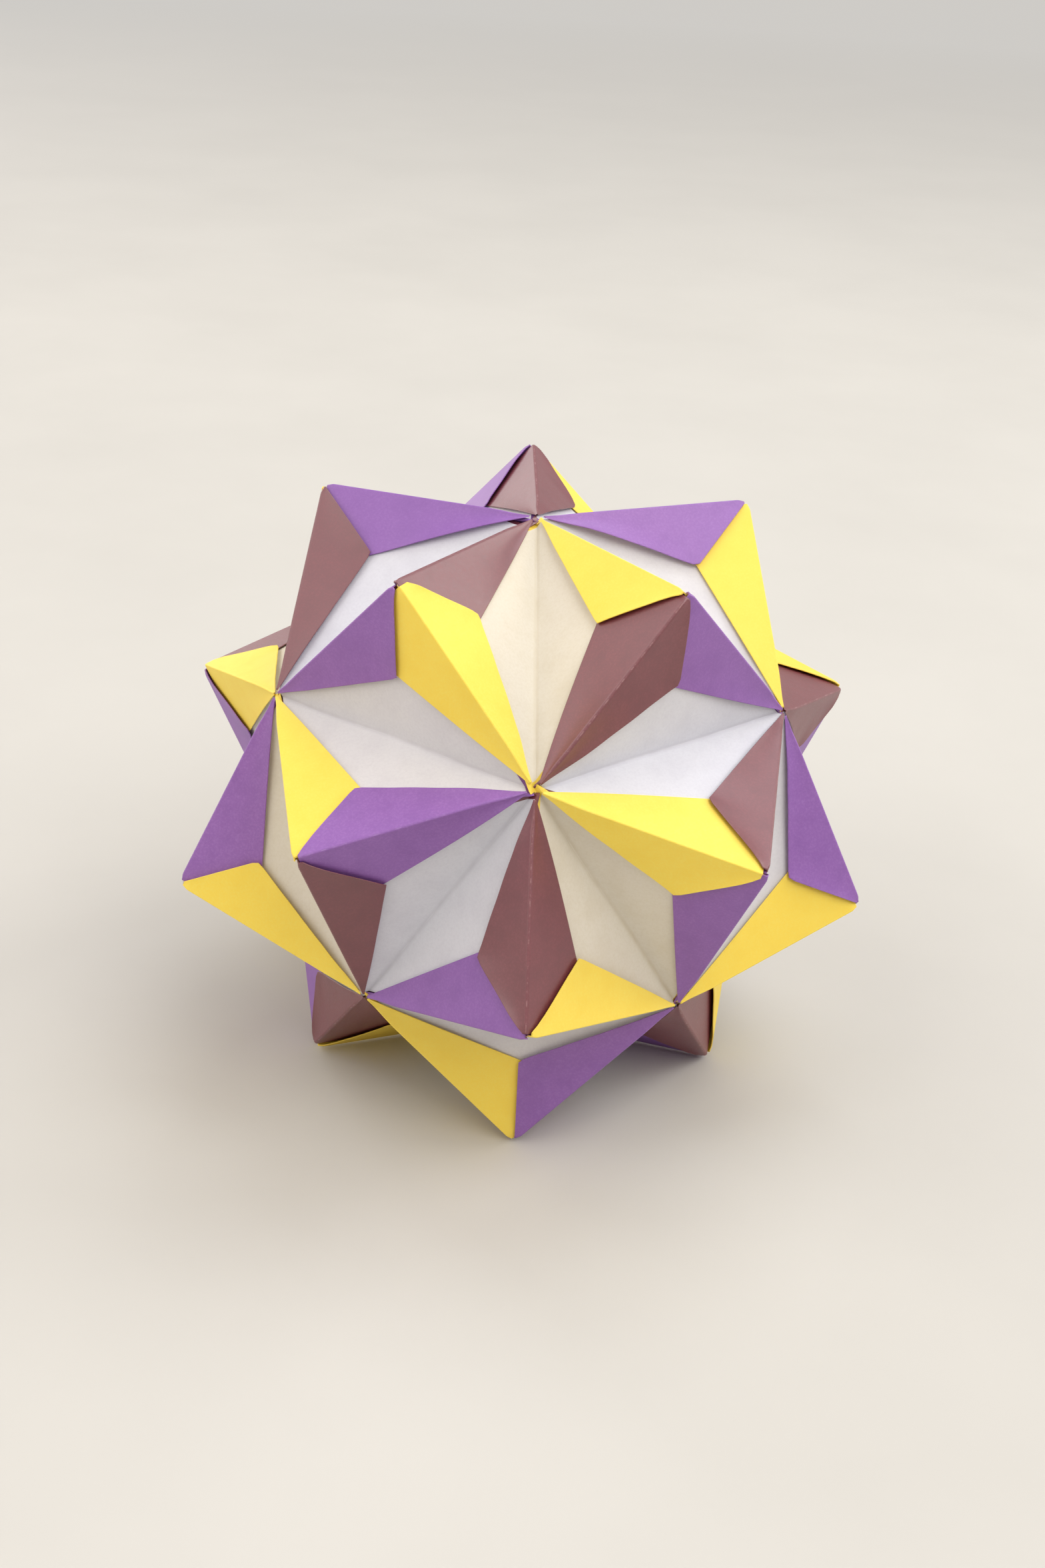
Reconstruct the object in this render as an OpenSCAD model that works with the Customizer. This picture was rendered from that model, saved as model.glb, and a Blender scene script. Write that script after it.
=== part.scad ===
// Kusudama ball of thirty folded paper units.
// Each unit lies along one edge of an icosahedron. Its pale middle is folded into a valley along
// that edge and forms one wall of the pyramid on either side. At both ends a tab runs over a ridge
// of the pyramid and folds back as a coloured kite. The kite leaves a pocket above its own wall,
// and the next unit's tab slides into that pocket, so the ball holds together without glue.

/* [Paper] */
// Side of the square sheet that each unit is folded from
sheet_side = 100; // [70:1:180]
// Thickness of one layer of paper
paper_t = 0.16; // [0.1:0.01:0.24]
// Layers of paper in the pale middle walls
wall_layers = 3; // [2:1:4]
// Layers of paper in a tab, its half of the kite included
tab_layers = 2; // [1:1:3]
// Layers of paper in the half of the kite that roofs the pocket
kite_layers = 2; // [1:1:3]

/* [Ball] */
// Height of each pyramid above the icosahedron face that it stands on
pyramid_h = 22.2; // [20:0.1:26]
// Angle between a ridge and the outer edges of its kite
kite_angle = 22.5; // [18:0.5:26]

/* [Fit] */
// Slip clearance between the layers of neighbouring units
slip = 0.05; // [0.02:0.01:0.1]
// Opening left beside each five-fold corner, from the corner to the end of a wall
corner_gap = 1.2; // [0.8:0.1:3]
// Further distance along a ridge before its kite begins, beyond what the valley needs
kite_setback = 0.7; // [0.2:0.1:3]
// Distance by which the end of a kite is blunted at the tip of its pyramid
tip_gap = 0.3; // [0.1:0.05:1]

/* [Colours] */
// Yellow sheets
yellow_paper = "#f3e35c"; // color
// Purple sheets
purple_paper = "#8f63b0"; // color
// Brown sheets
brown_paper = "#94585c"; // color
// Pale reverse side of every sheet
pale_side = "#f4f0e4"; // color

/* [Hidden] */
COLOUR_NAMES = ["yellow", "purple", "brown"];
COLOURS = [yellow_paper, purple_paper, brown_paper];
UNITS_PER_COLOUR = 10;

// Colour plan of the thirty edges, one row for each belt of five edges from the top down.
// Letters are the first letters of the colour names, and every face has all three.
PLAN = [
    "ypbpb", // top corner to upper ring
    "byyyp", // round the upper ring
    "ybbby", // upper ring down to the right
    "bpppp", // upper ring down to the left
    "yyybp", // round the lower ring
    "bpbpy", // bottom corner to lower ring
];

// Icosahedron whose edge is half the side of the sheet
golden = (1 + sqrt(5)) / 2;
edge = sheet_side / 2;
corner_r = edge * sqrt(golden * sqrt(5)) / 2;
edge_r = edge * golden / 2;
face_r = edge * golden * golden / (2 * sqrt(3));
ring_elevation = asin(1 / sqrt(5));

// Stack of layers on a wall, measured outwards from the pale surface
wall_t = wall_layers * paper_t;
tab_low = slip;
tab_high = tab_low + tab_layers * paper_t;
kite_low = tab_high + slip;
kite_high = kite_low + kite_layers * paper_t;
// Middle of the tab's own thickness, where its wall and its kite join it
tab_mid = (tab_low + tab_high) / 2;

// One unit about the middle of its valley: y along the valley, z outwards. near and far are the
// ends of the valley, and tip and side belong to the pyramid on the left.
face_tilt = acos(face_r / edge_r);
face_axis = [-sin(face_tilt), 0, cos(face_tilt)];
face_run = [-cos(face_tilt), 0, -sin(face_tilt)] * edge * sqrt(3) / 2;
near = [0, -edge / 2, 0];
far = [0, edge / 2, 0];
side = face_run;
tip = face_run / 3 + face_axis * pyramid_h;

// Planes are [unit normal, distance], with the normal outwards
function unit(v) = v / norm(v);
function plane(p, q, r) = let (n = unit(cross(q - p, r - p))) [n, n * p];
function shifted(s, d) = [s[0], s[1] + d];
// Plane that stands square on s and runs from p to q, with its normal to the right
function upright(s, p, q) = let (n = unit(cross(q - p, s[0]))) [n, n * p];
function meet(a, b, c) =
    (a[1] * cross(b[0], c[0]) + b[1] * cross(c[0], a[0]) + c[1] * cross(a[0], b[0]))
    / (a[0] * cross(b[0], c[0]));

// Three walls of the left pyramid: the unit's own wall, the one that its tab lies on, the third
own_wall = plane(near, far, tip);
tab_wall = plane(side, near, tip);
third_wall = plane(far, side, tip);

// Directions from the near end of the valley: the ridge, and the kite's outer edges on two walls
ridge = unit(tip - near);
own_edge = ridge * cos(kite_angle) - cross(own_wall[0], ridge) * sin(kite_angle);
tab_edge = ridge * cos(kite_angle) + cross(tab_wall[0], ridge) * sin(kite_angle);

// Distance along the ridge at which the kite clears the middle of the valley
valley_half = atan2(-tip.x, tip.z);
corner_angle = acos(ridge * unit(far - near));
valley_clear = kite_high / tan(valley_half) + slip / sin(valley_half);
kite_start = valley_clear * cos(kite_angle) / sin(corner_angle - kite_angle) + kite_setback;

// Side planes, each with its normal out of the sheet that it bounds
far_end = [[0, 1, 0], edge / 2 - corner_gap];
near_end = [[0, -1, 0], edge / 2 - corner_gap];
valley_side = [[1, 0, 0], 0];
mid_side = [[0, 1, 0], 0];
kite_end = [-ridge, -ridge * (near + ridge * kite_start)];
tip_end = shifted(third_wall, -tip_gap);
own_side = upright(own_wall, near, near + own_edge);
tab_side = upright(tab_wall, near + tab_edge, near);
// The wall reaches into its own tab, and stops behind the sheet that folds over the far ridge
wall_ridge = shifted(tab_wall, tab_mid);
wall_back = shifted(third_wall, -wall_t - slip);

// Both walls at one height of the sheet, folded along the valley from corner 0 to corner 4
function turned(p) = [-p.x, -p.y, p.z];
function half_wall(height) = let (face = shifted(own_wall, height)) [
    meet(face, valley_side, far_end),
    meet(face, far_end, wall_back),
    meet(face, wall_back, wall_ridge),
    meet(face, wall_ridge, near_end),
];
function walls(height) = let (half = half_wall(height)) concat(half, [for (p = half) turned(p)]);

// The kite and its tab at one height of each, folded along the ridge from corner 0 to corner 4
function flap(kite_height, tab_height) =
    let (kite = shifted(own_wall, kite_height), tab = shifted(tab_wall, tab_height)) [
        meet(kite, tab, kite_end),
        meet(kite, kite_end, own_side),
        meet(kite, own_side, mid_side),
        meet(kite, mid_side, tip_end),
        meet(kite, tab, tip_end),
        meet(tab, tip_end, tab_side),
        meet(tab, tab_side, kite_end),
    ];
FOLD = 4;

wall_inside = walls(-wall_t);
wall_outside = walls(0);
flap_inside = flap(kite_low, tab_low);
flap_outside = flap(kite_high, tab_high);

// Corners of the icosahedron, with the k-th of a ring starting at the front. One belt of edges goes
// once round the upright axis.
belt_step = 360 / len(PLAN[0]);
function ring_corner(azimuth, elevation) =
    corner_r * [cos(azimuth) * cos(elevation), sin(azimuth) * cos(elevation), sin(elevation)];
function upper(k) = ring_corner(belt_step * k - 90, ring_elevation);
function lower(k) = ring_corner(belt_step * (k + 1 / 2) - 90, -ring_elevation);
top = [0, 0, corner_r];

// Ends of the k-th edge in each row of the colour plan
function edge_ends(row, k) = [
    [top, upper(k)],
    [upper(k), upper(k + 1)],
    [upper(k), lower(k)],
    [upper(k), lower(k - 1)],
    [lower(k), lower(k + 1)],
    [-top, lower(k)],
][row];
function edges_of(colour) = [
    for (row = [0:len(PLAN) - 1])
        for (k = [0:len(PLAN[row]) - 1])
            if (PLAN[row][k] == COLOUR_NAMES[colour][0]) edge_ends(row, k)
];

// Axes and middle of the unit that lies on an edge
function axes(ends) =
    let (y = unit(ends[1] - ends[0]), z = unit(ends[0] + ends[1]))
    [cross(y, z), y, z, (ends[0] + ends[1]) / 2];
function height(frame, p) = frame[3].z + p * [frame[0].z, frame[1].z, frame[2].z];

// The lowest corner of any unit stands on the ground
outer_points = concat(wall_outside, flap_outside, [for (p = flap_outside) turned(p)]);
rise = -min([
    for (colour = [0:len(COLOURS) - 1])
        for (ends = edges_of(colour))
            for (p = outer_points)
                height(axes(ends), p)
]);

function unit_name(colour, i) = str(COLOUR_NAMES[colour], "_unit_", i < 9 ? "0" : "", i + 1);

// Sheet between two like outlines, folded along the line from corner 0 to corner FOLD
module folded_sheet(inside, outside) {
    n = len(inside);
    first_side = [for (i = [0:FOLD]) i];
    second_side = [for (i = [FOLD:n]) i % n];
    function outer(face) = [for (i = [len(face) - 1:-1:0]) n + face[i]];
    polyhedron(
        points = concat(inside, outside),
        faces = concat(
            [first_side, second_side, outer(first_side), outer(second_side)],
            [for (i = [0:n - 1]) [i, n + i, n + (i + 1) % n, (i + 1) % n]]
        )
    );
}

// One folded unit: two pale walls, and a coloured flap over a ridge at each end
module folded_unit(colour) {
    union() {
        color(pale_side) folded_sheet(wall_inside, wall_outside);
        color(COLOURS[colour])
            for (turn = [0, 180])
                rotate(turn) folded_sheet(flap_inside, flap_outside);
    }
}

// The i-th unit of a colour, on its edge of the ball
module placed_unit(colour, i) {
    frame = axes(edges_of(colour)[i]);
    x = frame[0];
    y = frame[1];
    z = frame[2];
    at = frame[3];
    multmatrix([
        [x.x, y.x, z.x, at.x],
        [x.y, y.y, z.y, at.y],
        [x.z, y.z, z.z, at.z + rise],
    ])
        folded_unit(colour);
}

for (colour = [0:len(COLOURS) - 1])
    for (i = [0:UNITS_PER_COLOUR - 1])
        placed_unit(colour, i);
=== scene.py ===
"""Looks of the kusudama paper ball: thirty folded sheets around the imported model, in metres."""
import math

import bpy
import numpy as np
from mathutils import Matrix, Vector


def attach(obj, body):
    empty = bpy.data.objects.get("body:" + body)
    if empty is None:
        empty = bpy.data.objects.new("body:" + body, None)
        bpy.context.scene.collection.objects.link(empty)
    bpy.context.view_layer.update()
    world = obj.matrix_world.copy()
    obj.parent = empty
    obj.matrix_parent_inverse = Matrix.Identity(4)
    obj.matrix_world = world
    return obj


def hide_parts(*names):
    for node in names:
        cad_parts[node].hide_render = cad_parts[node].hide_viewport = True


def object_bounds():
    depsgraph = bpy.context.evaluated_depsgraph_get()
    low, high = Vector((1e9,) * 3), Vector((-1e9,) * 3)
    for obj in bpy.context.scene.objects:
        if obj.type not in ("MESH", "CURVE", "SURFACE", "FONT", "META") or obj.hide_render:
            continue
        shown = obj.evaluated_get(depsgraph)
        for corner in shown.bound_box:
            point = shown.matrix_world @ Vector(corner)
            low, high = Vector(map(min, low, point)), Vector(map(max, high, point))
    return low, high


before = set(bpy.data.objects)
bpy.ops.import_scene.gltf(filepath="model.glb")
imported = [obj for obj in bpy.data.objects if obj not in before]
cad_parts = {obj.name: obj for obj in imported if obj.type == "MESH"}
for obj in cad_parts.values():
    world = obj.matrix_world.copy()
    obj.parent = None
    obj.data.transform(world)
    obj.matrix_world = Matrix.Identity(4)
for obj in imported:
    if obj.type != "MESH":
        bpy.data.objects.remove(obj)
cad_low, cad_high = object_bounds()

MM = 0.001
SEED = 30

# Sheet and ball, in millimetres, as in the model
SHEET_SIDE = 100.0
PAPER_T = 0.16
WALL_LAYERS = 3
FLAP_LAYERS = 2
PYRAMID_H = 22.2
KITE_ANGLE = math.radians(22.5)
SLIP = 0.05
GOLDEN = (1 + math.sqrt(5)) / 2
EDGE = SHEET_SIDE / 2
CORNER_R = EDGE * math.sqrt(GOLDEN * math.sqrt(5)) / 2
EDGE_R = EDGE * GOLDEN / 2
FACE_R = EDGE * GOLDEN ** 2 / (2 * math.sqrt(3))
RING_ELEVATION = math.asin(1 / math.sqrt(5))
WALL_T = WALL_LAYERS * PAPER_T
FLAP_T = FLAP_LAYERS * PAPER_T
TAB_HIGH = SLIP + FLAP_T
KITE_HIGH = TAB_HIGH + SLIP + FLAP_T
MIDDLE_Z = (cad_low[2] + cad_high[2]) / 2 / MM

# Colour plan of the thirty edges, one row for each belt of five edges from the top down
PLAN = ("ypbpb", "byyyp", "ybbby", "bpppp", "yyybp", "bpbpy")
COLOUR_NAMES = {"y": "yellow", "p": "purple", "b": "brown"}
# Angle between the edges of one belt, and where a belt starts, in degrees
BELT_STEP = 360 / len(PLAN[0])
FRONT = -90


def unit(v):
    return v / np.linalg.norm(v)


def direction(azimuth, elevation):
    """Unit vector at these angles, in radians."""
    flat = math.cos(elevation)
    return np.array([math.cos(azimuth) * flat, math.sin(azimuth) * flat, math.sin(elevation)])


def smoothstep(x):
    x = np.clip(x, 0, 1)
    return x * x * (3 - 2 * x)


def crowded(count, crowding):
    """Steps from 0 to 1 that lie closer together towards both ends."""
    x = np.linspace(0, 1, count)
    return x - crowding * np.sin(2 * math.pi * x)


# One unit about the middle of its valley: y along the valley, z outwards
FACE_TILT = math.acos(FACE_R / EDGE_R)
FACE_AXIS = np.array([-math.sin(FACE_TILT), 0, math.cos(FACE_TILT)])
FACE_RUN = np.array([-math.cos(FACE_TILT), 0, -math.sin(FACE_TILT)]) * EDGE * math.sqrt(3) / 2
NEAR = np.array([0, -EDGE / 2, 0])
FAR = np.array([0, EDGE / 2, 0])
TIP = FACE_RUN / 3 + FACE_AXIS * PYRAMID_H
# The unit's own wall and the wall that its tab lies on, with directions along the ridge and away from it
OWN_N = unit(np.cross(FAR - NEAR, TIP - NEAR))
TAB_N = unit(np.cross(NEAR - FACE_RUN, TIP - FACE_RUN))
RIDGE = unit(TIP - NEAR)
RIDGE_LENGTH = np.linalg.norm(TIP - NEAR)
OWN_OUT = -np.cross(OWN_N, RIDGE)
TAB_OUT = np.cross(TAB_N, RIDGE)
NEXT_RIDGE = unit(FACE_RUN - TIP)
# Direction across a tab, parallel to the next ridge
TAB_RUN = TAB_OUT + RIDGE * (NEXT_RIDGE @ RIDGE) / (NEXT_RIDGE @ TAB_OUT)
VALLEY_HALF = math.atan2(-TIP[0], TIP[2])
WALL_HEIGHT = np.linalg.norm(TIP)
# How much higher a wall grows for each millimetre along the valley from a corner
RIDGE_SLOPE = WALL_HEIGHT / (EDGE / 2)
# Distance along the ridge to the broadest place of a kite, where its edge meets the middle of the wall
BROADEST = EDGE / 2 / (OWN_OUT[1] * math.tan(KITE_ANGLE) + RIDGE[1])
# Half a turn about the middle, which takes one end of a unit to the other
TURNED = np.array([-1, -1, 1])


def corner_at(h_own, h_tab):
    """Point over the ridge at these heights above the two walls, in the plane square to the ridge."""
    c = OWN_N @ TAB_N
    own = (h_own - c * h_tab) / (1 - c * c)
    tab = (h_tab - c * h_own) / (1 - c * c)
    return np.multiply.outer(own, OWN_N) + np.multiply.outer(tab, TAB_N)


COLOURED, PALE = 0, 1


class Shell:
    """Vertices, faces and attributes of one sheet, gathered before it becomes a mesh."""

    def __init__(self):
        self.points, self.faces, self.materials, self.smooth = [], [], [], []
        self.fold, self.edge = [], []
        self.count = 0

    def add(self, points, fold, edge):
        """Adds points with their attributes, and gives the number of the first."""
        first = self.count
        self.points.append(points)
        self.fold.append(np.broadcast_to(fold, len(points)))
        self.edge.append(np.broadcast_to(edge, len(points)))
        self.count += len(points)
        return first

    def face(self, corners, material, smooth=True):
        self.faces.append(corners)
        self.materials.append(material)
        self.smooth.append(smooth)


# Stations along a ridge and points across half a kite, closer together towards ends and folds
ALONG = 52
KITE_CROWDING = 0.1
ACROSS = np.array([1.0, 0.985, 0.96, 0.9, 0.8, 0.68, 0.55, 0.42, 0.3, 0.2, 0.12, 0.05, 0.015, 0.0])
BACK = ACROSS[::-1]
# Points over a fold, and round the edge of the paper
ARC = 9
ROUND = 4
# Directions over a fold, from the kite's wall to the tab's
FOLD_STEPS = np.linspace(0, 1, ARC)
FOLD_TURN = math.acos(OWN_N @ TAB_N)
OWN_PART = np.multiply.outer(np.sin((1 - FOLD_STEPS) * FOLD_TURN), OWN_N)
TAB_PART = np.multiply.outer(np.sin(FOLD_STEPS * FOLD_TURN), TAB_N)
OVER_FOLD = (OWN_PART + TAB_PART) / math.sin(FOLD_TURN)
# Power with which the fold's own attribute fades to both sides
FOLD_FADE = 0.5

# Radius of each paper's fold over a ridge, the radius that it starts with at the kite's point,
# its growth along the ridge, and the radius of the fold's inner face
RIDGE_RADIUS = {"y": 0.22, "p": 0.34, "b": 0.46}
SHARP_RADIUS = 0.05
RADIUS_GROWTH = 0.1
INNER_RADIUS = 0.03
# The layers of a flap are pressed flatter than in the model: their thickness, the share of it at the
# kite's point and the length over which it grows, and how much lower the kite and the tab lie
PRESSED_T = 0.2
POINT_SHARE = 0.25
THICKEN_RUN = 2.0
KITE_PRESS = 0.06
TAB_PRESS = 0.08
# How much lower the roof of a pocket lies at the kite's point, and over what length it rises
POCKET_DROP = 0.33
POCKET_RISE = 7.0
# How far both sides dip at the tip of the pyramid, and over what length
TIP_DIP = 0.2
TIP_RUN = 1.5
# Width of a kite below which its edge lifts less and less
LIFT_WIDTH = 3.0
# Length round the kite's corner over which its folded edge gives way to its raw edge
RAW_RUN = 3.0
# Power that draws the fullest place of an edge's lift towards the kite's point
SWELL_SKEW = 0.8
# Faint wave of a kite's edge, and how far it turns in a millimetre, in radians
RIPPLE = 0.03
RIPPLE_RATE = 0.9
# Gap between a kite's point and the end of its wall, and the least width and run of the paper there
POINT_GAP = 0.03
LEAST_WIDTH = 0.05
LEAST_RUN = 0.02

# How the kites differ from one another, in millimetres, degrees for the turns and radians for the wave,
# in the order in which they are drawn
KITE_RANGES = {
    "tip_gap": (0.2, 0.6),
    "own_turn": (-0.5, 0.4),
    "tab_turn": (-0.6, 0.4),
    "own_lift": (0.08, 0.35),
    "raw_lift": (0.22, 0.5),
    "tab_lift": (0.12, 0.45),
    "own_bow": (-0.12, 0.1),
    "tab_bow": (-0.15, 0.05),
    "raw_shift": (-0.05, 0.4),
    "corner_round": (0.12, 0.35),
    "wave": (0, 2 * math.pi),
}
# Kites that lie a little apart from the rest in the photograph, by unit and end, in millimetres: the kite's
# or the tab's edge standing further off the pale paper, or the raw edge reaching further
SEEN = {
    ("purple_unit_01", 0): {"own_lift": 0.7},
    ("purple_unit_02", 0): {"tab_lift": 0.7},
    ("yellow_unit_01", 1): {"raw_shift": 0.9},
}


class Kite:
    """How one kite and its tab lie at stations along their ridge."""

    def __init__(self, rng, colour, opening, seen):
        vary = {key: rng.uniform(*span) for key, span in KITE_RANGES.items()}
        for key, more in seen.items():
            vary[key] += more

        # The kite comes to a point where the slanted end of its wall meets the ridge
        start = POINT_GAP + opening * math.hypot(1, RIDGE_SLOPE) / (1 + RIDGE_SLOPE)
        stop = RIDGE_LENGTH - vary["tip_gap"]
        s = start + (stop - start) * crowded(ALONG, KITE_CROWDING)
        from_start = s - start
        self.stations = s
        self.radius = np.minimum(RIDGE_RADIUS[colour], SHARP_RADIUS + RADIUS_GROWTH * from_start)
        self.thick = PRESSED_T * (POINT_SHARE + (1 - POINT_SHARE) * smoothstep(from_start / THICKEN_RUN))

        # The edges run straight from the point, and meet their true lines where the kite is broadest.
        # The kite ends at its raw edge, and the tab runs on beneath the next kite
        point = 1 - start / s * np.clip(1 - from_start / (BROADEST - start), 0, 1)
        fold_line = s * math.tan(KITE_ANGLE + math.radians(vary["own_turn"]))
        raw_line = (EDGE / 2 - RIDGE[1] * s) / OWN_OUT[1] + vary["raw_shift"]
        both_lines = (fold_line + raw_line - np.hypot(fold_line - raw_line, vary["corner_round"])) / 2
        tab_line = s * math.tan(KITE_ANGLE + math.radians(vary["tab_turn"]))
        self.own_width = np.maximum(both_lines * point, LEAST_WIDTH)
        self.tab_width = np.maximum(tab_line * point, LEAST_WIDTH)

        # Heights above the walls at the ridge, and how far the paper rises or bows on the way to its edges
        corner = s[np.argmax(self.own_width)]
        swell = np.sin(math.pi * np.clip(from_start / (corner - start), 0, 1) ** SWELL_SKEW)
        raw_part = smoothstep((s - corner + RAW_RUN / 2) / RAW_RUN)
        tip_dip = TIP_DIP * smoothstep(1 - (stop - s) / TIP_RUN) ** 2
        pocket = POCKET_DROP * (1 - smoothstep(from_start / POCKET_RISE))
        ripple = RIPPLE * np.sin(RIPPLE_RATE * s + vary["wave"])
        narrow = np.minimum(1, self.own_width / LIFT_WIDTH)
        self.own_top = KITE_HIGH - KITE_PRESS - tip_dip - pocket
        self.tab_top = TAB_HIGH - TAB_PRESS - tip_dip
        self.own_rise = (vary["own_lift"] * swell + vary["raw_lift"] * raw_part + ripple) * narrow
        self.tab_rise = vary["tab_lift"] * swell
        self.own_bow = vary["own_bow"] * swell
        self.tab_bow = vary["tab_bow"] * swell

    def layer(self, depth, radius):
        """Points of one face of the sheet, from the kite's edge over the ridge to the tab's edge."""
        rows = []
        for j in range(ALONG):
            own_top = self.own_top[j] - depth[j]
            tab_top = self.tab_top[j] - depth[j]
            centre = corner_at(own_top - radius[j], tab_top - radius[j])
            own_from = centre @ OWN_OUT
            tab_from = centre @ TAB_OUT
            half_t = self.thick[j] / 2
            own_m = own_from + max(self.own_width[j] - half_t - own_from, LEAST_RUN) * ACROSS
            tab_m = tab_from + max(self.tab_width[j] - half_t - tab_from, LEAST_RUN) * BACK
            own_h = own_top + self.own_rise[j] * ACROSS ** 2 + self.own_bow[j] * np.sin(math.pi * ACROSS)
            tab_h = tab_top + self.tab_rise[j] * BACK ** 2 + self.tab_bow[j] * np.sin(math.pi * BACK)
            own_side = np.multiply.outer(own_m, OWN_OUT) + np.multiply.outer(own_h, OWN_N)
            tab_side = np.multiply.outer(tab_m, TAB_RUN) + np.multiply.outer(tab_h, TAB_N)
            fold = centre + radius[j] * OVER_FOLD
            row = np.concatenate([own_side[:-1], fold, tab_side[1:]])
            rows.append(NEAR + RIDGE * self.stations[j] + row)
        return np.array(rows)

    def rim(self, first, last, out):
        """Points round the edge of the paper, from one face to the other."""
        phase = np.linspace(0, math.pi, ROUND + 2)[1:-1]
        share = (1 - np.cos(phase)) / 2
        bulge = np.multiply.outer(self.thick / 2, np.sin(phase))
        return first[:, None] + share[:, None] * (last - first)[:, None] + np.multiply.outer(bulge, out)


def add_flap(shell, kite, turn):
    """A coloured kite with its tab: two layers folded over a ridge, open along the kite's raw edge."""
    outer = kite.layer(np.zeros(ALONG), kite.radius)
    inner = kite.layer(kite.thick, np.full(ALONG, INNER_RADIUS))
    tab_rim = kite.rim(outer[:, -1], inner[:, -1], TAB_OUT)
    own_rim = kite.rim(inner[:, 0], outer[:, 0], OWN_OUT)
    rings = np.concatenate([outer, tab_rim, inner[:, ::-1], own_rim], axis=1)
    n = outer.shape[1]
    size = rings.shape[1]

    fold = np.zeros((ALONG, size))
    fold[:, len(ACROSS) - 1 + np.arange(ARC)] = np.sin(math.pi * FOLD_STEPS) ** FOLD_FADE
    edge = np.zeros((ALONG, size))
    edge[:, [0, n - 1]] = 1
    edge[:, n:n + ROUND] = 1
    edge[:, size - ROUND:] = 1
    points = rings.reshape(-1, 3)
    if turn:
        points = points * TURNED
    first = shell.add(points, fold.reshape(-1), edge.reshape(-1))

    for j in range(ALONG - 1):
        a, b = first + j * size, first + (j + 1) * size
        for i in range(size):
            k = (i + 1) % size
            on_face = i < n - 1 or n + ROUND <= i < size - ROUND - 1
            shell.face((a + i, b + i, b + k, a + k), COLOURED, on_face)
    for j, reverse in ((0, False), (ALONG - 1, True)):
        a = first + j * size
        under = a + size - ROUND - 1
        caps = [(a + i, a + i + 1, under - i - 1, under - i) for i in range(n - 1)]
        caps.append(tuple(range(a + n - 1, a + n + ROUND + 1)))
        caps.append(tuple(range(under, a + size)) + (a,))
        for cap in caps:
            shell.face(cap[::-1] if reverse else cap, COLOURED, False)


# Rows along a valley, and points up a wall, closer together towards ends and crease
DOWN = 45
WALL_CROWDING = 0.06
UP_WALL = np.array(
    [0, 0.012, 0.026, 0.045, 0.075, 0.12, 0.18, 0.26, 0.35, 0.45, 0.56, 0.67, 0.78, 0.89, 1.0]
)
# The ends of a wall are slanted at half a right angle, from the point of the sheet's own kite to beneath
# the kite beside it. The slant comes in over the last part of the valley, and beneath that kite it stops
# this far up the wall
FAN = 10.0
SLANT = 3.0
# Beneath the kite beside it, how far a slanted end reaches beyond the corner, and its gap to the ridge
BENEATH_REACH = 2.0
BENEATH_GAP = 0.15
# Gap between a wall and the fold of its own kite: its least, and how much and where it widens
FOLD_GAP = 0.08
FOLD_ROOM = 0.47
FOLD_START = 2.0
FOLD_RUN = 5.0
# Length from a corner over which the crease deepens, and wall height at which a hollow is full
CREASE_RUN = 5.0
HOLLOW_HEIGHT = 12.0
# Half width of the band down the crease in which shade is painted on the pale side
CREASE_BAND = 1.1
# Faint wave of a wall and sway of its crease, and how far they turn in a millimetre, in radians
WALL_RIPPLE = 0.05
WALL_RIPPLE_RATE = 0.35
SWAY_RATE = 0.2
# The coloured layers behind reach across this share of a corner's opening, gradually over this length
TONGUE = {"y": 0.9, "p": 0.55, "b": 0.55}
TONGUE_RUN = 4.0

# How the walls differ from one another, in millimetres
CREASE_RADII = (0.25, 0.4)
CREASE_DEPTHS = (0.2, 0.4)
CREASE_WIDTHS = (0.9, 1.8)
HOLLOWS = (-0.02, 0.3)
SWAYS = (-0.15, 0.15)


def wall_points(rng, y, end):
    """Points of the pale face, in rows across the valley at places y along it."""
    soft = rng.uniform(*CREASE_RADII)
    deep = rng.uniform(*CREASE_DEPTHS)
    crease_width = rng.uniform(*CREASE_WIDTHS, 2)
    hollow = rng.uniform(*HOLLOWS, 2)
    sway = rng.uniform(*SWAYS)
    wave = rng.uniform(0, 2 * math.pi, 3)
    to_corner = EDGE / 2 - np.abs(y)
    slant = smoothstep((np.abs(y) - end + FAN) / FAN)
    rows = []
    for j in range(DOWN):
        ridge_at = RIDGE_SLOPE * to_corner[j]
        near_corner = min(1, to_corner[j] / CREASE_RUN)
        sides = []
        for k, side in enumerate((-1, 1)):
            if side * y[j] > 0:
                gap = FOLD_GAP + FOLD_ROOM * smoothstep((to_corner[j] - FOLD_START) / FOLD_RUN)
                p = (ridge_at - gap) / (1 + RIDGE_SLOPE * slant[j]) * UP_WALL
                shear = slant[j] * p
            else:
                p = (ridge_at + RIDGE_SLOPE * BENEATH_REACH * slant[j] - BENEATH_GAP) * UP_WALL
                shear = -slant[j] * SLANT * np.tanh(p / SLANT)
            dx = p * math.sin(VALLEY_HALF)
            dz = np.hypot(dx, soft * near_corner) / math.tan(VALLEY_HALF)
            dz = dz - deep * near_corner * np.exp(-p / crease_width[k])
            up = np.clip(p / ridge_at, 0, 1)
            hump = np.sin(math.pi * up) * min(1, ridge_at / HOLLOW_HEIGHT)
            dz = dz - hump * (hollow[k] + WALL_RIPPLE * math.sin(WALL_RIPPLE_RATE * y[j] + wave[k]))
            shift = sway * math.sin(SWAY_RATE * y[j] + wave[2]) * (1 - up)
            sides.append(np.stack([side * dx + shift, y[j] + np.sign(y[j]) * shear, dz], 1))
        rows.append(np.concatenate([sides[0][::-1], sides[1][1:]]))
    return np.array(rows)


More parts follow.
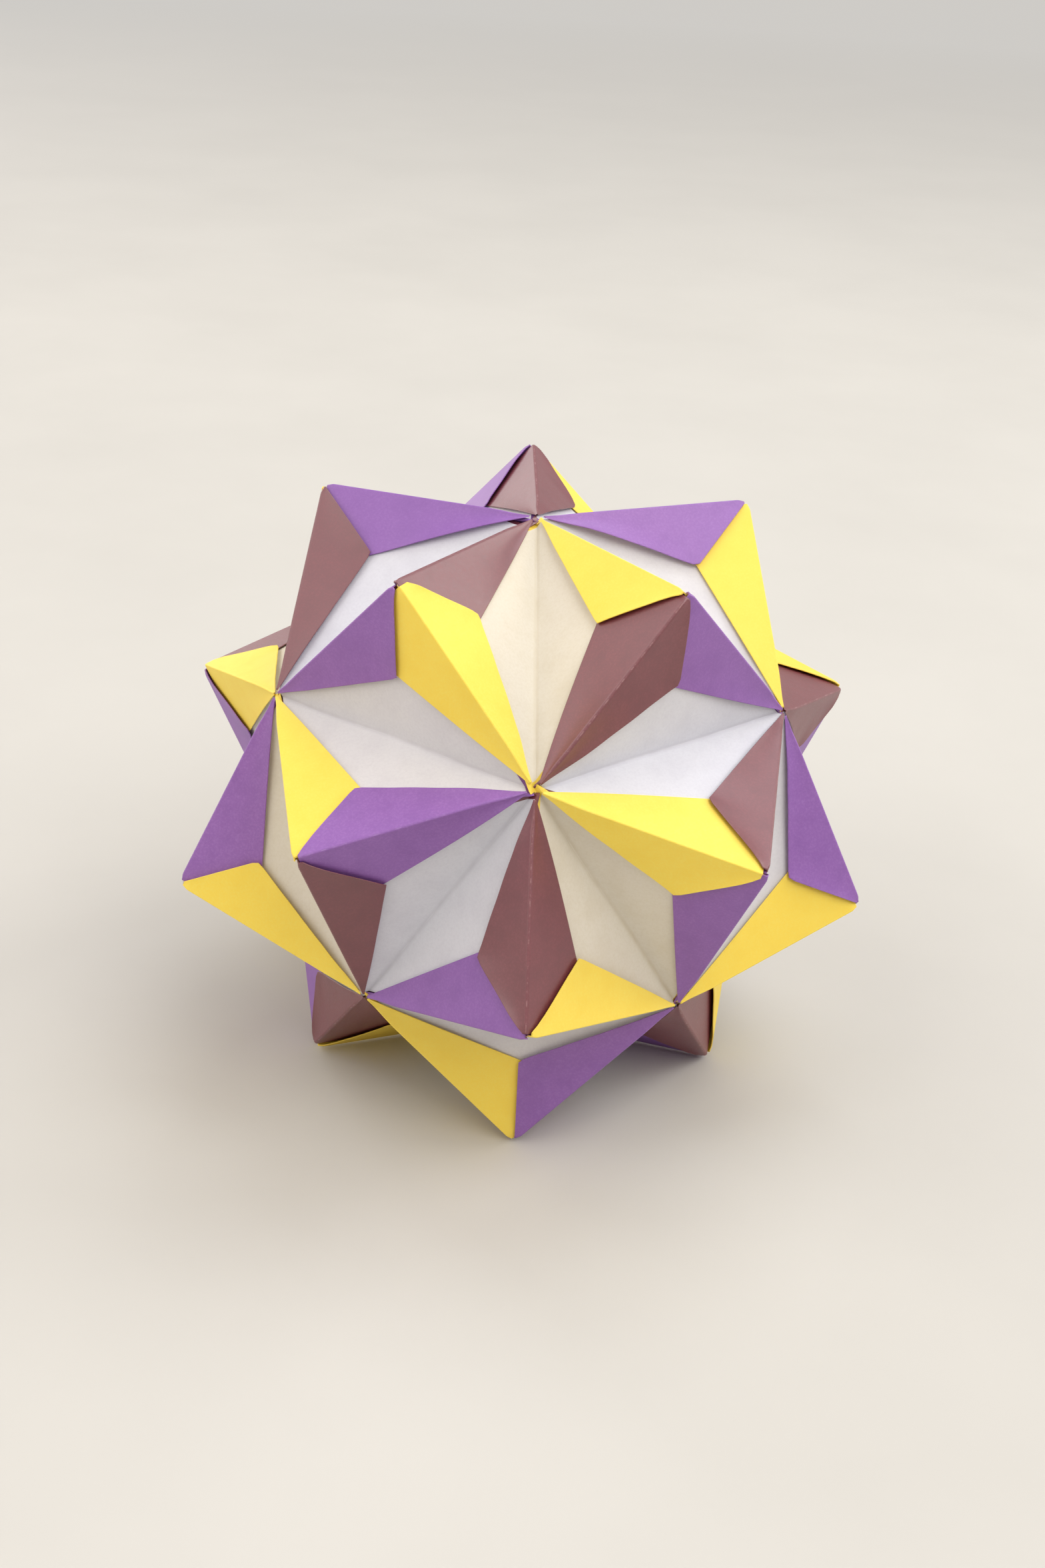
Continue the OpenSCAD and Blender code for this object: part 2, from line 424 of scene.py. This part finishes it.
def add_walls(shell, rng, colour, openings):
    """The pale middle of the sheet: two walls folded softly along the valley, coloured behind."""
    ends = EDGE / 2 - openings
    y = -ends[0] + (ends[0] + ends[1]) * crowded(DOWN, WALL_CROWDING)
    end = np.where(y < 0, ends[0], ends[1])
    top = wall_points(rng, y, end)
    bottom = top - np.array([0, 0, WALL_T / math.sin(VALLEY_HALF)])
    further = np.where(y < 0, -openings[0], openings[1]) * TONGUE[colour]
    bottom[:, :, 1] += (further * smoothstep((np.abs(y) - end + TONGUE_RUN) / TONGUE_RUN))[:, None]
    n = top.shape[1]
    across = np.abs(top[:, :, 0] - top[:, n // 2:n // 2 + 1, 0])
    # How much shade is painted on the pale side: full down the crease, none at the edge of the band
    crease = np.clip(1 - across / CREASE_BAND, 0, 1)
    upper_first = shell.add(top.reshape(-1, 3), crease.reshape(-1), 0.0)
    lower_first = shell.add(bottom.reshape(-1, 3), 0.0, 0.0)

    for j in range(DOWN - 1):
        a, b = upper_first + j * n, upper_first + (j + 1) * n
        c, d = lower_first + j * n, lower_first + (j + 1) * n
        for i in range(n - 1):
            shell.face((a + i, a + i + 1, b + i + 1, b + i), PALE)
            shell.face((c + i, d + i, d + i + 1, c + i + 1), COLOURED)
        shell.face((a, b, d, c), COLOURED, False)
        shell.face((a + n - 1, c + n - 1, d + n - 1, b + n - 1), COLOURED, False)
    a, c = upper_first, lower_first
    b, d = a + (DOWN - 1) * n, c + (DOWN - 1) * n
    for i in range(n - 1):
        shell.face((a + i, c + i, c + i + 1, a + i + 1), COLOURED, False)
        shell.face((b + i, b + i + 1, d + i + 1, d + i), COLOURED, False)


def upper(k):
    """The k-th corner of the icosahedron's upper ring, counted from the front."""
    return CORNER_R * direction(math.radians(BELT_STEP * k + FRONT), RING_ELEVATION)


def lower(k):
    """The corner of the lower ring that lies between upper(k) and upper(k + 1)."""
    return CORNER_R * direction(math.radians(BELT_STEP * (k + 0.5) + FRONT), -RING_ELEVATION)


TOP = np.array([0, 0, CORNER_R])


def edge_ends(row, k):
    """Ends of the k-th edge in a row of the colour plan."""
    return (
        (TOP, upper(k)),
        (upper(k), upper(k + 1)),
        (upper(k), lower(k)),
        (upper(k), lower(k - 1)),
        (lower(k), lower(k + 1)),
        (-TOP, lower(k)),
    )[row]


# Two corners stand a little more open than the rest: distances to the ends of the walls
OPEN_CORNERS = (TOP, upper(0))
OPEN_RANGE = (1.5, 2.0)
CLOSE_RANGE = (0.8, 1.1)


def opening_range(corner):
    """Least and greatest distance from a corner to the end of a wall."""
    return OPEN_RANGE if any(np.allclose(corner, c) for c in OPEN_CORNERS) else CLOSE_RANGE


# Papers. Texture scales are in features to a metre, and the depth of the grain is in metres
DYED_FIBRES = 2600
DYED_CLOUDS = 260
PALE_FIBRES = 2300
PALE_CLOUDS = 180
RIDGE_BREAKS = 800
EDGE_BREAKS = 900
CREASE_SHADE_BREAKS = 300
CREASE_MIDDLE_BREAKS = 140
GRAIN_DEPTH = 0.00005
ROUGHNESS_SPREAD = 0.06
PALE_ROUGHNESS = 0.66
PALE_SPECULAR = 0.2
# Sockets of the Mix node when it mixes colours
MIX_FACTOR, MIX_A, MIX_B = 0, 6, 7
MIX_RESULT = 2


def linear(code):
    """Linear colour of a written sRGB code."""
    rgb = [int(code[i:i + 2], 16) / 255 for i in (1, 3, 5)]
    return [c / 12.92 if c <= 0.04045 else ((c + 0.055) / 1.055) ** 2.4 for c in rgb] + [1.0]


class Nodes:
    """A material with short names for the shader nodes that it uses."""

    def __init__(self, name):
        self.material = bpy.data.materials.new(name)
        self.material.use_nodes = True
        self.tree = self.material.node_tree
        self.shader = self.tree.nodes["Principled BSDF"]
        self.place = self.tree.nodes.new("ShaderNodeTexCoord").outputs["Object"]

    def set(self, socket, value):
        if hasattr(value, "is_linked"):
            self.tree.links.new(value, socket)
        else:
            socket.default_value = value

    def noise(self, scale, detail=3.0, roughness=0.55):
        node = self.tree.nodes.new("ShaderNodeTexNoise")
        self.tree.links.new(self.place, node.inputs["Vector"])
        node.inputs["Scale"].default_value = scale
        node.inputs["Detail"].default_value = detail
        node.inputs["Roughness"].default_value = roughness
        return node.outputs["Fac"]

    def attribute(self, name):
        node = self.tree.nodes.new("ShaderNodeAttribute")
        node.attribute_name = name
        return node.outputs["Fac"]

    def remap(self, value, span, to=(0.0, 1.0)):
        """The value taken from one span to another, and held at its ends."""
        node = self.tree.nodes.new("ShaderNodeMapRange")
        self.set(node.inputs["Value"], value)
        for socket, number in zip(("From Min", "From Max", "To Min", "To Max"), (*span, *to)):
            node.inputs[socket].default_value = number
        return node.outputs["Result"]

    def math(self, kind, a, b):
        node = self.tree.nodes.new("ShaderNodeMath")
        node.operation = kind
        self.set(node.inputs[0], a)
        self.set(node.inputs[1], b)
        return node.outputs["Value"]

    def mix(self, share, a, b):
        node = self.tree.nodes.new("ShaderNodeMix")
        node.data_type = "RGBA"
        self.set(node.inputs[MIX_FACTOR], share)
        self.set(node.inputs[MIX_A], a)
        self.set(node.inputs[MIX_B], b)
        return node.outputs[MIX_RESULT]

    def bump(self, height, distance, strength):
        node = self.tree.nodes.new("ShaderNodeBump")
        node.inputs["Distance"].default_value = distance
        node.inputs["Strength"].default_value = strength
        self.tree.links.new(height, node.inputs["Height"])
        return node.outputs["Normal"]

    def paper(self, colour, fibre, cloud, roughness, specular, fibre_share, relief):
        """Sets the shader of a paper, whose grain shows in its roughness and its relief."""
        span = (roughness - ROUGHNESS_SPREAD, roughness + ROUGHNESS_SPREAD)
        self.set(self.shader.inputs["Base Color"], colour)
        self.set(self.shader.inputs["Roughness"], self.remap(fibre, (0.3, 0.7), to=span))
        self.shader.inputs["Specular IOR Level"].default_value = specular
        grain = self.math("ADD", self.math("MULTIPLY", fibre, fibre_share), cloud)
        self.set(self.shader.inputs["Normal"], self.bump(grain, GRAIN_DEPTH, relief))
        return self.material


def coloured_paper(name, base, fleck, dark, worn, wear, roughness, specular):
    """Dyed side: mottled fibres, a thin pale line worn along the ridges and paler edges."""
    n = Nodes(name)
    fibre = n.noise(DYED_FIBRES, detail=4.0, roughness=0.65)
    cloud = n.noise(DYED_CLOUDS, detail=3.0, roughness=0.6)
    colour = n.mix(n.remap(fibre, (0.45, 0.7)), linear(base), linear(fleck))
    colour = n.mix(n.remap(cloud, (0.45, 0.75), to=(0.0, 0.5)), colour, linear(dark))
    tone = n.remap(n.attribute("tone"), (0.0, 1.0), to=(0.0, 0.35))
    colour = n.mix(tone, colour, linear(dark))
    breaks = n.noise(RIDGE_BREAKS, detail=3.0, roughness=0.7)
    dashes = n.remap(breaks, (0.5, 0.62), to=(0.08, 1.0))
    line = n.math("MULTIPLY", n.remap(n.attribute("fold"), (0.93, 1.0)), dashes)
    chips = n.remap(n.noise(EDGE_BREAKS, detail=2.0, roughness=0.6), (0.4, 0.7))
    rim = n.math("MULTIPLY", chips, n.remap(n.attribute("edge"), (0.5, 1.0), to=(0.0, 0.25)))
    rubbed = n.math("MULTIPLY", n.math("MAXIMUM", line, rim), wear)
    colour = n.mix(rubbed, colour, linear(worn))
    return n.paper(colour, fibre, cloud, roughness, specular, fibre_share=0.6, relief=0.4)


def pale_paper(name, base, shade):
    """Plain side: fine fibres, faint clouds and painted shade in a band down the crease, which gives way to
    the base colour along its middle in patches.
    """
    n = Nodes(name)
    fibre = n.noise(PALE_FIBRES, detail=4.0, roughness=0.65)
    cloud = n.noise(PALE_CLOUDS, detail=3.0, roughness=0.6)
    colour = n.mix(n.remap(fibre, (0.42, 0.75), to=(0.0, 0.4)), linear(base), linear(shade))
    colour = n.mix(n.remap(cloud, (0.45, 0.8), to=(0.0, 0.5)), colour, linear(shade))
    # Painted shade: the band down the crease is mixed towards the shade colour, more strongly in patches
    crease_shade_strength = n.remap(n.noise(CREASE_SHADE_BREAKS, detail=2.0), (0.3, 0.6), to=(0.5, 1.0))
    crease = n.math("MULTIPLY", n.remap(n.attribute("fold"), (0.5, 1.0)), crease_shade_strength)
    colour = n.mix(crease, colour, linear(shade))
    # Along the middle of the crease the colour goes back to the base in patches, so the painted shade is
    # thinner there
    patches = n.remap(n.noise(CREASE_MIDDLE_BREAKS), (0.45, 0.6))
    rubbed = n.math("MULTIPLY", n.remap(n.attribute("fold"), (0.9, 1.0), to=(0.0, 0.8)), patches)
    colour = n.mix(rubbed, colour, linear(base))
    return n.paper(colour, fibre, cloud, PALE_ROUGHNESS, PALE_SPECULAR, fibre_share=0.5, relief=0.28)


# The coloured side and the pale side of each sheet; the pale side's shade colour darkens its fibres and
# clouds and is also the painted shade down its crease
PAPERS = {
    "y": (
        coloured_paper(
            "yellow_paper", base="#fee25b", fleck="#fee76a", dark="#fad950", worn="#fdf1b4",
            wear=0.12, roughness=0.55, specular=0.4,
        ),
        pale_paper("cream_side", base="#e6e1d5", shade="#d8d0bd"),
    ),
    "p": (
        coloured_paper(
            "purple_paper", base="#9161b1", fleck="#9c6eba", dark="#8255a3", worn="#d8c2e8",
            wear=0.25, roughness=0.46, specular=0.6,
        ),
        pale_paper("lilac_white_side", base="#e0e0e5", shade="#d0cfd6"),
    ),
    "b": (
        coloured_paper(
            "brown_paper", base="#74363f", fleck="#81424b", dark="#652d36", worn="#dcb8b8",
            wear=0.3, roughness=0.42, specular=1.0,
        ),
        pale_paper("blue_white_side", base="#dddfe8", shade="#cccdd8"),
    ),
}


def make_unit(name, colour, ends, rng):
    """The folded sheet on one edge of the ball, in place of its node."""
    shell = Shell()
    openings = np.array([rng.uniform(*opening_range(corner)) for corner in ends])
    add_walls(shell, rng, colour, openings)
    for turn, opening in enumerate(openings):
        kite = Kite(rng, colour, opening, SEEN.get((name, turn), {}))
        add_flap(shell, kite, turn)
    tone = rng.uniform(0, 1)

    y = unit(ends[1] - ends[0])
    z = unit(ends[0] + ends[1])
    axes = np.stack([np.cross(y, z), y, z], 1)
    middle = np.array([0, 0, MIDDLE_Z])
    points = np.concatenate(shell.points) @ axes.T + (ends[0] + ends[1]) / 2 + middle
    mesh = bpy.data.meshes.new(name + "_sheet")
    mesh.from_pydata((points * MM).tolist(), [], shell.faces)
    for material in PAPERS[colour]:
        mesh.materials.append(material)
    mesh.polygons.foreach_set("material_index", shell.materials)
    mesh.polygons.foreach_set("use_smooth", shell.smooth)
    attributes = {
        "fold": np.concatenate(shell.fold),
        "edge": np.concatenate(shell.edge),
        "tone": np.full(shell.count, tone),
    }
    for key, values in attributes.items():
        attribute = mesh.attributes.new(key, "FLOAT", "POINT")
        attribute.data.foreach_set("value", values.astype(np.float32))
    mesh.update()

    piece = bpy.data.objects.new(name + "_sheet", mesh)
    bpy.context.scene.collection.objects.link(piece)
    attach(piece, "root")
    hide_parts(name)


rng = np.random.default_rng(SEED)
counts = dict.fromkeys(COLOUR_NAMES, 0)
for row, belt in enumerate(PLAN):
    for k, colour in enumerate(belt):
        counts[colour] += 1
        make_unit(f"{COLOUR_NAMES[colour]}_unit_{counts[colour]:02d}", colour, edge_ends(row, k), rng)


# Floor, with half its side in metres, and backdrop
FLOOR_HALF = 4.0
FLOOR_COLOURS = ("#cac9c5", "#c5c4c0")
FLOOR_CLOUDS = 12
FLOOR_ROUGHNESS = 0.75
BACKDROP = (0.62, 0.6, 0.57, 1.0)
# Distances from the ball over which the floor fades into the backdrop, in metres
FADE = (0.5, 1.4)
# Even light from all round
AMBIENT = (1.0, 0.78, 0.54, 1.0)
AMBIENT_STRENGTH = 0.25


def seen_rays(tree):
    """1 for the rays that show the background: from the camera, off gloss and through glass."""
    rays = tree.nodes.new("ShaderNodeLightPath")
    seen = rays.outputs["Is Camera Ray"]
    for kind in ("Is Glossy Ray", "Is Transmission Ray"):
        either = tree.nodes.new("ShaderNodeMath")
        either.operation = "MAXIMUM"
        tree.links.new(seen, either.inputs[0])
        tree.links.new(rays.outputs[kind], either.inputs[1])
        seen = either.outputs["Value"]
    return seen


def floor_material():
    """Pale floor with faint clouds, which fades into the backdrop further off."""
    n = Nodes("floor")
    clouds = n.remap(n.noise(FLOOR_CLOUDS, detail=4.0), (0.35, 0.75))
    base, shade = (linear(code) for code in FLOOR_COLOURS)
    n.set(n.shader.inputs["Base Color"], n.mix(clouds, base, shade))
    n.shader.inputs["Roughness"].default_value = FLOOR_ROUGHNESS
    away = n.tree.nodes.new("ShaderNodeVectorMath")
    away.operation = "LENGTH"
    n.tree.links.new(n.place, away.inputs[0])
    far = n.remap(away.outputs["Value"], FADE)
    glow = n.tree.nodes.new("ShaderNodeEmission")
    glow.inputs["Color"].default_value = BACKDROP
    fade = n.tree.nodes.new("ShaderNodeMixShader")
    n.set(fade.inputs["Fac"], n.math("MULTIPLY", far, seen_rays(n.tree)))
    n.tree.links.new(n.shader.outputs["BSDF"], fade.inputs[1])
    n.tree.links.new(glow.outputs["Emission"], fade.inputs[2])
    n.tree.links.new(fade.outputs["Shader"], n.tree.nodes["Material Output"].inputs["Surface"])
    return n.material


def make_floor():
    h = FLOOR_HALF
    mesh = bpy.data.meshes.new("floor")
    mesh.from_pydata([(-h, -h, 0), (h, -h, 0), (h, h, 0), (-h, h, 0)], [], [(0, 1, 2, 3)])
    mesh.materials.append(floor_material())
    floor = bpy.data.objects.new("floor", mesh)
    bpy.context.scene.collection.objects.link(floor)


def make_world():
    """Even light from all round, seen by the camera and in reflections as a pale backdrop."""
    world = bpy.data.worlds.new("studio")
    bpy.context.scene.world = world
    world.use_nodes = True
    nodes = world.node_tree.nodes
    links = world.node_tree.links
    around = nodes["Background"]
    around.inputs["Color"].default_value = AMBIENT
    around.inputs["Strength"].default_value = AMBIENT_STRENGTH
    backdrop = nodes.new("ShaderNodeBackground")
    backdrop.inputs["Color"].default_value = BACKDROP
    choice = nodes.new("ShaderNodeMixShader")
    links.new(seen_rays(world.node_tree), choice.inputs["Fac"])
    links.new(around.outputs["Background"], choice.inputs[1])
    links.new(backdrop.outputs["Background"], choice.inputs[2])
    links.new(choice.outputs["Shader"], nodes["World Output"].inputs["Surface"])


# Soft lamps round the ball: distance in metres, then for each lamp azimuth and elevation in degrees,
# diameter in metres, power in watts and colour
LAMP_DISTANCE = 1.6
LAMPS = {
    "sky": (58, 66, 1.05, 10.2, (0.92, 0.96, 1.0)),
    "window": (14, 29, 0.9, 9.2, (1.0, 0.98, 0.95)),
    "rear": (127, 15, 1.0, 7.4, (1.0, 0.96, 0.94)),
    "fill": (-164, 38, 2.0, 16.5, (1.0, 0.96, 0.92)),
    "front": (-48, 52, 1.4, 14.8, (1.0, 0.98, 0.96)),
}
BALL_MIDDLE = np.array([0, 0, MIDDLE_Z * MM])


def soft_light(name, azimuth, elevation, size, power, colour):
    data = bpy.data.lights.new(name, "AREA")
    data.shape = "DISK"
    data.size = size
    data.energy = power
    data.color = colour
    light = bpy.data.objects.new(name, data)
    azimuth, elevation = math.radians(azimuth), math.radians(elevation)
    light.location = direction(azimuth, elevation) * LAMP_DISTANCE + BALL_MIDDLE
    light.rotation_euler = (math.pi / 2 - elevation, 0, azimuth + math.pi / 2)
    bpy.context.scene.collection.objects.link(light)


make_floor()
for name, lamp in LAMPS.items():
    soft_light(name, *lamp)
make_world()

# Camera fitted to the photograph, which is taken as 1568 x 2352: angles in degrees, distance in metres,
# focal length and offsets of the ball from the middle in the photograph's pixels, sensor in millimetres
PHOTO_H = 2352
AZIMUTH, ELEVATION, ROLL = (math.radians(a) for a in (-2.431, 27.992, 2.959))
DISTANCE = 0.33972
FOCAL_PX = 2981.4
OFF_X, OFF_Y = 1.5, 3.4
SENSOR = 36.0


def make_camera():
    flat = math.cos(ELEVATION)
    ahead = np.array([-math.sin(AZIMUTH) * flat, math.cos(AZIMUTH) * flat, -math.sin(ELEVATION)])
    level = np.array([math.cos(AZIMUTH), math.sin(AZIMUTH), 0])
    raised = np.cross(level, ahead)
    pose = np.eye(4)
    pose[:3, 0] = level * math.cos(ROLL) + raised * math.sin(ROLL)
    pose[:3, 1] = raised * math.cos(ROLL) - level * math.sin(ROLL)
    pose[:3, 2] = -ahead
    pose[:3, 3] = BALL_MIDDLE - ahead * DISTANCE
    data = bpy.data.cameras.new("camera")
    data.sensor_width = SENSOR
    data.lens = FOCAL_PX / PHOTO_H * SENSOR
    data.shift_x = -OFF_X / PHOTO_H
    data.shift_y = -OFF_Y / PHOTO_H
    camera = bpy.data.objects.new("camera", data)
    bpy.context.scene.collection.objects.link(camera)
    camera.matrix_world = [list(column) for column in pose.T]
    bpy.context.scene.camera = camera


make_camera()
bpy.context.scene.view_settings.view_transform = "Standard"
